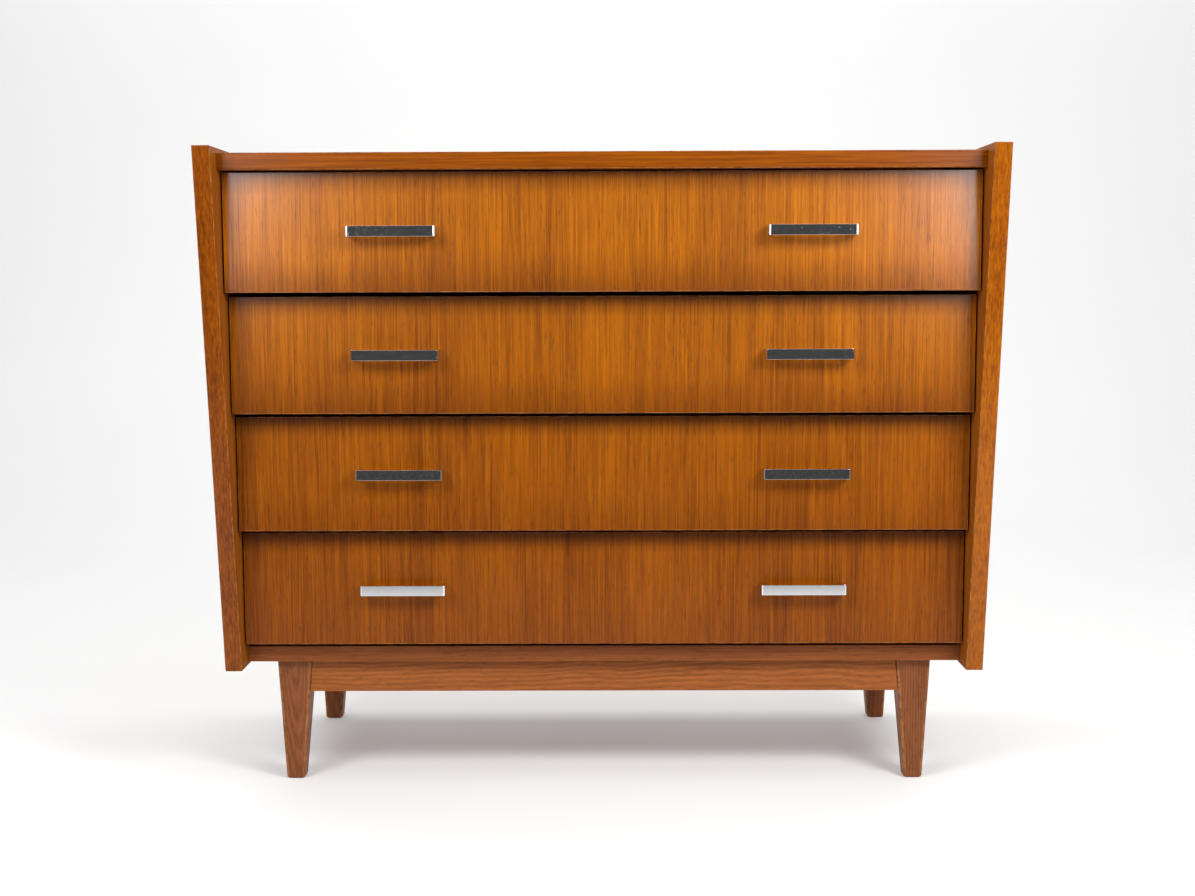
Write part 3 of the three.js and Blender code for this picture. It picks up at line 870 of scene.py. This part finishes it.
# %% Legs
def slice_box(node, height):
    """The corners of a CAD part at one height."""
    points = [v.co for v in NODES[node].data.vertices if near(v.co.z, height)]
    return (Vector((min(p.x for p in points), min(p.y for p in points), height)),
            Vector((max(p.x for p in points), max(p.y for p in points), height)))


LEG_EASE = 3.2 * MM
LEG_RUBBED = 0.4
LEG_TEAK = {
    "leg_front_left": {"shift": (0.394, 0.0687, 0), "lean": (-0.15, 0.02, 0)},
    "leg_front_right": {"shift": (-0.30, 0.09, 0), "lean": (0.01, 0.02, 0)},
    "leg_rear_left": {"shift": (0.33, 0.10, 0), "lean": (0.03, -0.02, 0)},
    "leg_rear_right": {"shift": (-0.34, -0.12, 0), "lean": (-0.02, 0.02, 0)},
}


def make_leg(node, heart):
    low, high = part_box(node)
    shoulder = min(v.co.z for v in NODES[node].data.vertices if v.co.z > low.z + MM)
    foot_low, foot_high = slice_box(node, shoulder)
    top_low, top_high = slice_box(node, high.z)
    leg = block("teak_" + node, (foot_low.x, foot_low.y, low.z),
                (foot_high.x, foot_high.y, shoulder))
    pick(leg, "FACE", lambda place, facing: facing.z > SQUARELY)
    rise = (top_low + top_high - foot_low - foot_high) / 2
    bpy.ops.mesh.extrude_region_move(TRANSFORM_OT_translate={"value": rise})
    spread = [(top_high - top_low)[i] / (foot_high - foot_low)[i] for i in (0, 1)]
    bpy.ops.transform.resize(value=(*spread, 1), center_override=(top_low + top_high) / 2)
    leave_edit()
    pick(leg, "EDGE", lambda first, second: near(first.z, low.z) and near(second.z, low.z))
    bevel_selected(shoulder - low.z, 4, 0)
    leave_edit()
    plain = wood("teak_" + node, RING_GRAIN, "Z", LEG_FIGURE, **heart)
    rubbed = wood("edge_" + node, RING_GRAIN, "Z", LEG_FIGURE, rub=LEG_RUBBED, **heart)
    coat_with(leg, plain, rubbed)
    ease(leg, LEG_EASE, 4)
    return settle(leg, "case", "leg_teak", node)


for node, heart in LEG_TEAK.items():
    print(make_leg(node, heart).name)


# %% Aprons
def make_apron(side, axis):
    node = "apron_" + side
    apron = coat_with(bench_copy(node, "teak_" + node), apron_teak[axis], apron_edge)
    ease(apron, SOLID_EASE)
    return settle(apron, "case", "apron_teak", node)


for side, axis in (("front", "X"), ("rear", "X"), ("left", "Y"), ("right", "Y")):
    print(make_apron(side, axis).name)

# %% [markdown]
# ## Screws
# Slotted screws hold the pulls, the back panel, the runners and the battens. A turned disc is
# given a domed rim and a slot is cut in it. The heads are small, so a pattern with few faces is
# enough, in two sizes.

# %% One screw head
HEAD_SIDES = 24
SLOT_HALF_WIDTH, SLOT_FLOOR = 0.13, 0.45


def make_screw(name, radius, height, dome):
    bpy.ops.object.select_all(action="DESELECT")
    bpy.ops.mesh.primitive_cylinder_add(vertices=HEAD_SIDES, radius=radius, depth=height,
                                        location=(0, 0, height / 2))
    screw = bpy.context.object
    screw.name = name
    bpy.ops.object.transform_apply(location=True, rotation=True, scale=True)
    pick(screw, "EDGE", lambda first, second: near(first.z, height) and near(second.z, height))
    bevel_selected(dome, 3, 0)
    leave_edit()
    slot = block("slot", (-radius * 2, -radius * SLOT_HALF_WIDTH, height * SLOT_FLOOR),
                 (radius * 2, radius * SLOT_HALF_WIDTH, height * 2))
    only(screw)
    cutting = screw.modifiers.new("slot", "BOOLEAN")
    cutting.operation = "DIFFERENCE"
    cutting.object = slot
    bpy.ops.object.modifier_apply(modifier=cutting.name)
    bpy.data.objects.remove(slot)
    coat_with(screw, steel)
    smooth_rounds(screw)
    return screw


pan_screw = make_screw("pan_screw", 4.0 * MM, 2.4 * MM, 1.2 * MM)
flat_screw = make_screw("flat_screw", 3.2 * MM, 0.4 * MM, 0.15 * MM)
print("screw heads:", len(pan_screw.data.polygons), "and", len(flat_screw.data.polygons), "faces")

# %% Screws in their places
FACING = {
    "+Y": Matrix.Rotation(-math.pi / 2, 4, "X"),
    "-Z": Matrix.Rotation(math.pi, 4, "X"),
    "+X": Matrix.Rotation(math.pi / 2, 4, "Y"),
    "-X": Matrix.Rotation(-math.pi / 2, 4, "Y"),
}
GOLDEN_ANGLE = math.radians(137.5)
screw_count = 0


def drive(pattern, name, place, facing, body, slot):
    """Drives one screw. Each is left at its own angle, in steps of the golden angle."""
    global screw_count
    screw_count += 1
    spin = Matrix.Rotation(screw_count * GOLDEN_ANGLE, 4, "Z")
    copy = copy_to(pattern, name, place, FACING[facing] @ spin)
    return settle(copy, body, slot)


def spaced(low, high, count):
    return [low + (high - low) * step / (count - 1) for step in range(count)]


for number in DRAWERS:
    front_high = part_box(f"drawer_{number}_front")[1]
    for hand in HANDS:
        low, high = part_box(f"drawer_{number}_handle_{hand}")
        for side, x in (("a", low.x + LEG_WIDE / 2), ("b", high.x - LEG_WIDE / 2)):
            place = (x, front_high.y, (low.z + high.z) / 2)
            drive(pan_screw, f"pull_screw_{number}_{hand}_{side}", place, "+Y",
                  f"drawer_{number}", "chrome")

back_low, back_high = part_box("back_panel")
EDGE_IN, CORNER_IN, UPRIGHT_IN = 5.0 * MM, 30 * MM, 120 * MM
back_places = [(x, z) for x in spaced(back_low.x + CORNER_IN, back_high.x - CORNER_IN, 6)
               for z in (back_low.z + 2 * EDGE_IN, back_high.z - EDGE_IN)]
back_places += [(x, z) for x in (back_low.x + EDGE_IN, back_high.x - EDGE_IN)
                for z in spaced(back_low.z + UPRIGHT_IN, back_high.z - UPRIGHT_IN, 4)]
for index, (x, z) in enumerate(back_places):
    drive(flat_screw, f"back_screw_{index + 1}", (x, back_high.y, z), "+Y", "case", "back_board")

for hand, facing in (("left", "+X"), ("right", "-X")):
    for number in DRAWERS:
        low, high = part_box(f"runner_{hand}_{number}")
        x = high.x if hand == "left" else low.x
        for index, y in enumerate(spaced(low.y + CORNER_IN, high.y - CORNER_IN, 3)):
            drive(flat_screw, f"runner_screw_{hand}_{number}_{index + 1}",
                  (x, y, (low.z + high.z) / 2), facing, "case", "beech")
    low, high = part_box("batten_" + hand)
    for index, y in enumerate(spaced(low.y + CORNER_IN, high.y - CORNER_IN, 3)):
        drive(flat_screw, f"batten_screw_{hand}_{index + 1}",
              ((low.x + high.x) / 2, y, low.z), "-Z", "case", "beech")
for pattern in (pan_screw, flat_screw):
    bpy.data.objects.remove(pattern)
print(screw_count, "screws")

# %% [markdown]
# ## The studio
# The chest stands on a white sweep: a floor that curves up into the wall, so that no line shows
# behind it. A plain sheet is made, its back edge is drawn up, and the corner between is bevelled
# into a wide curve. The paper also glows a little: painted light that brightens the paper and its
# shadows. Toward the front it is dark to everything except the camera, so that polished pulls
# and varnished fronts reflect a dark studio there and don't turn milky.

# %% Sweep
SWEEP_WIDTH, SWEEP_BACK, SWEEP_FRONT, SWEEP_HEIGHT = 9.0, 3.0, -3.2, 4.5
SWEEP_CURVE = 1.4
DIM_PAPER, BRIGHT_PAPER = (0.66, 0.66, 0.66, 1), (0.68, 0.68, 0.68, 1)
DARK_FLOOR = (0.08, 0.08, 0.08, 1)
DARK_UP_TO, LIT_FROM = -1.9, -1.15
# Painted light: how strongly the paper glows by emission.
PAPER_GLOW = 0.20


def make_sweep():
    bpy.ops.object.select_all(action="DESELECT")
    middle = (SWEEP_BACK + SWEEP_FRONT) / 2
    bpy.ops.mesh.primitive_plane_add(size=1, location=(0, middle, 0))
    sweep = bpy.context.object
    sweep.name = "sweep"
    sweep.scale = (SWEEP_WIDTH, SWEEP_BACK - SWEEP_FRONT, 1)
    bpy.ops.object.transform_apply(location=True, rotation=True, scale=True)
    pick(sweep, "EDGE", lambda first, second: all(
        near(p.y, SWEEP_BACK) for p in (first, second)))
    bpy.ops.mesh.extrude_region_move(TRANSFORM_OT_translate={"value": (0, 0, SWEEP_HEIGHT)})
    leave_edit()
    pick(sweep, "EDGE", lambda first, second: all(
        near(p.y, SWEEP_BACK) and near(p.z, 0) for p in (first, second)))
    bevel_selected(SWEEP_CURVE, 24, 0)
    leave_edit()
    only(sweep)
    bpy.ops.object.shade_smooth()
    return sweep


def sweep_paper():
    material = bpy.data.materials.new("sweep_paper")
    material.use_nodes = True
    tree = material.node_tree
    surface = tree.nodes["Principled BSDF"]
    place = add(tree, "TexCoord").outputs["Object"]
    mottle = noise(tree, stretched(tree, place, 1.4, 1.4), 2.0)
    tint = blend(tree, remap(tree, mottle, NOISE_LOW, NOISE_HIGH), DIM_PAPER, BRIGHT_PAPER)
    depth = add(tree, "SeparateXYZ", {0: place}).outputs["Y"]
    seen = add(tree, "LightPath").outputs["Is Camera Ray"]
    paper = calc(tree, "MAXIMUM", remap(tree, depth, DARK_UP_TO, LIT_FROM), seen)
    glow = blend(tree, paper, (0, 0, 0, 1), (1, 1, 1, 1))
    tree.links.new(blend(tree, paper, DARK_FLOOR, tint), surface.inputs["Base Color"])
    tree.links.new(glow, surface.inputs["Emission Color"])
    surface.inputs["Emission Strength"].default_value = PAPER_GLOW
    surface.inputs["Roughness"].default_value = 0.9
    return material


sweep = coat_with(make_sweep(), sweep_paper())
print("sweep made")

# %% [markdown]
# ## The lights
# Two square keys stand above and before the upper corners and give the shadow under each
# overhanging drawer. Two weak tall boxes further off lie in the mirror direction of the top
# drawer's ends, which gives those their pale sheen. Low strips to the front and the sides
# show only as the bright ends of the upper pulls. One box above lights the top, and a wide one
# washes the wall and the floor behind.

# %% Lights
AIM = (0, -0.2, 0.5)


def softbox(name, place, aim, size, power):
    data = bpy.data.lights.new(name, "AREA")
    data.shape = "RECTANGLE"
    data.size, data.size_y = size
    data.energy = power
    light = bpy.data.objects.new(name, data)
    bpy.context.scene.collection.objects.link(light)
    light.location = place
    light.rotation_mode = "QUATERNION"
    light.rotation_quaternion = (Vector(aim) - Vector(place)).to_track_quat("-Z", "Y")
    return light


softbox("left_key", (-1.05, -1.3, 1.36), AIM, (0.6, 0.6), 18)
softbox("right_key", (1.05, -1.25, 1.35), AIM, (0.6, 0.6), 27)
softbox("left_glow", (-1.00, -2.2, 1.22), (0, -0.2, 1.22), (0.35, 0.7), 4.0)
softbox("right_glow", (1.00, -2.2, 1.15), (0, -0.2, 1.15), (0.35, 0.8), 4.2)
for hand, side in zip(HANDS, (-1, 1)):
    softbox("front_strip_" + hand, (side * 1.42, -2.3, 0.80), (side * 0.25, -0.2, 0.72),
            (1.1, 0.26), 1.5)
    softbox("side_strip_" + hand, (side * 2.0, -0.95, 0.80), (0, -0.6, 0.75), (2.5, 0.26), 3.4)
softbox("top_box", (0, -0.7, 2.3), (0, -0.2, 0.4), (1.8, 0.8), 12)
softbox("back_wash", (0, 1.0, 3.2), (0, 2.6, 1.0), (6.0, 2.0), 106)
print("lamps:", len(bpy.data.lights))

# %% [markdown]
# ## The room
# Past the edges of the sweep there is only the world's own light. It is pale beside and behind
# the chest and dim on the camera's side, and a camera that looks straight at it sees pale grey.

# %% Room
ROOM_DIM, ROOM_PALE, ROOM_SEEN = 0.06, 0.20, 0.9


def light_room():
    world = bpy.data.worlds.new("studio")
    bpy.context.scene.world = world
    world.use_nodes = True
    tree = world.node_tree
    toward = add(tree, "TexCoord").outputs["Generated"]
    depth = add(tree, "SeparateXYZ", {0: toward}).outputs["Y"]
    level = remap(tree, depth, -0.6, 0.3, ROOM_DIM, ROOM_PALE)
    seen = add(tree, "LightPath").outputs["Is Camera Ray"]
    level = calc(tree, "MAXIMUM", level, calc(tree, "MULTIPLY", seen, ROOM_SEEN))
    background = tree.nodes["Background"]
    background.inputs["Color"].default_value = (1, 1, 1, 1)
    tree.links.new(level, background.inputs["Strength"])


light_room()
bpy.context.scene.view_settings.view_transform = "Standard"
print("studio lit")
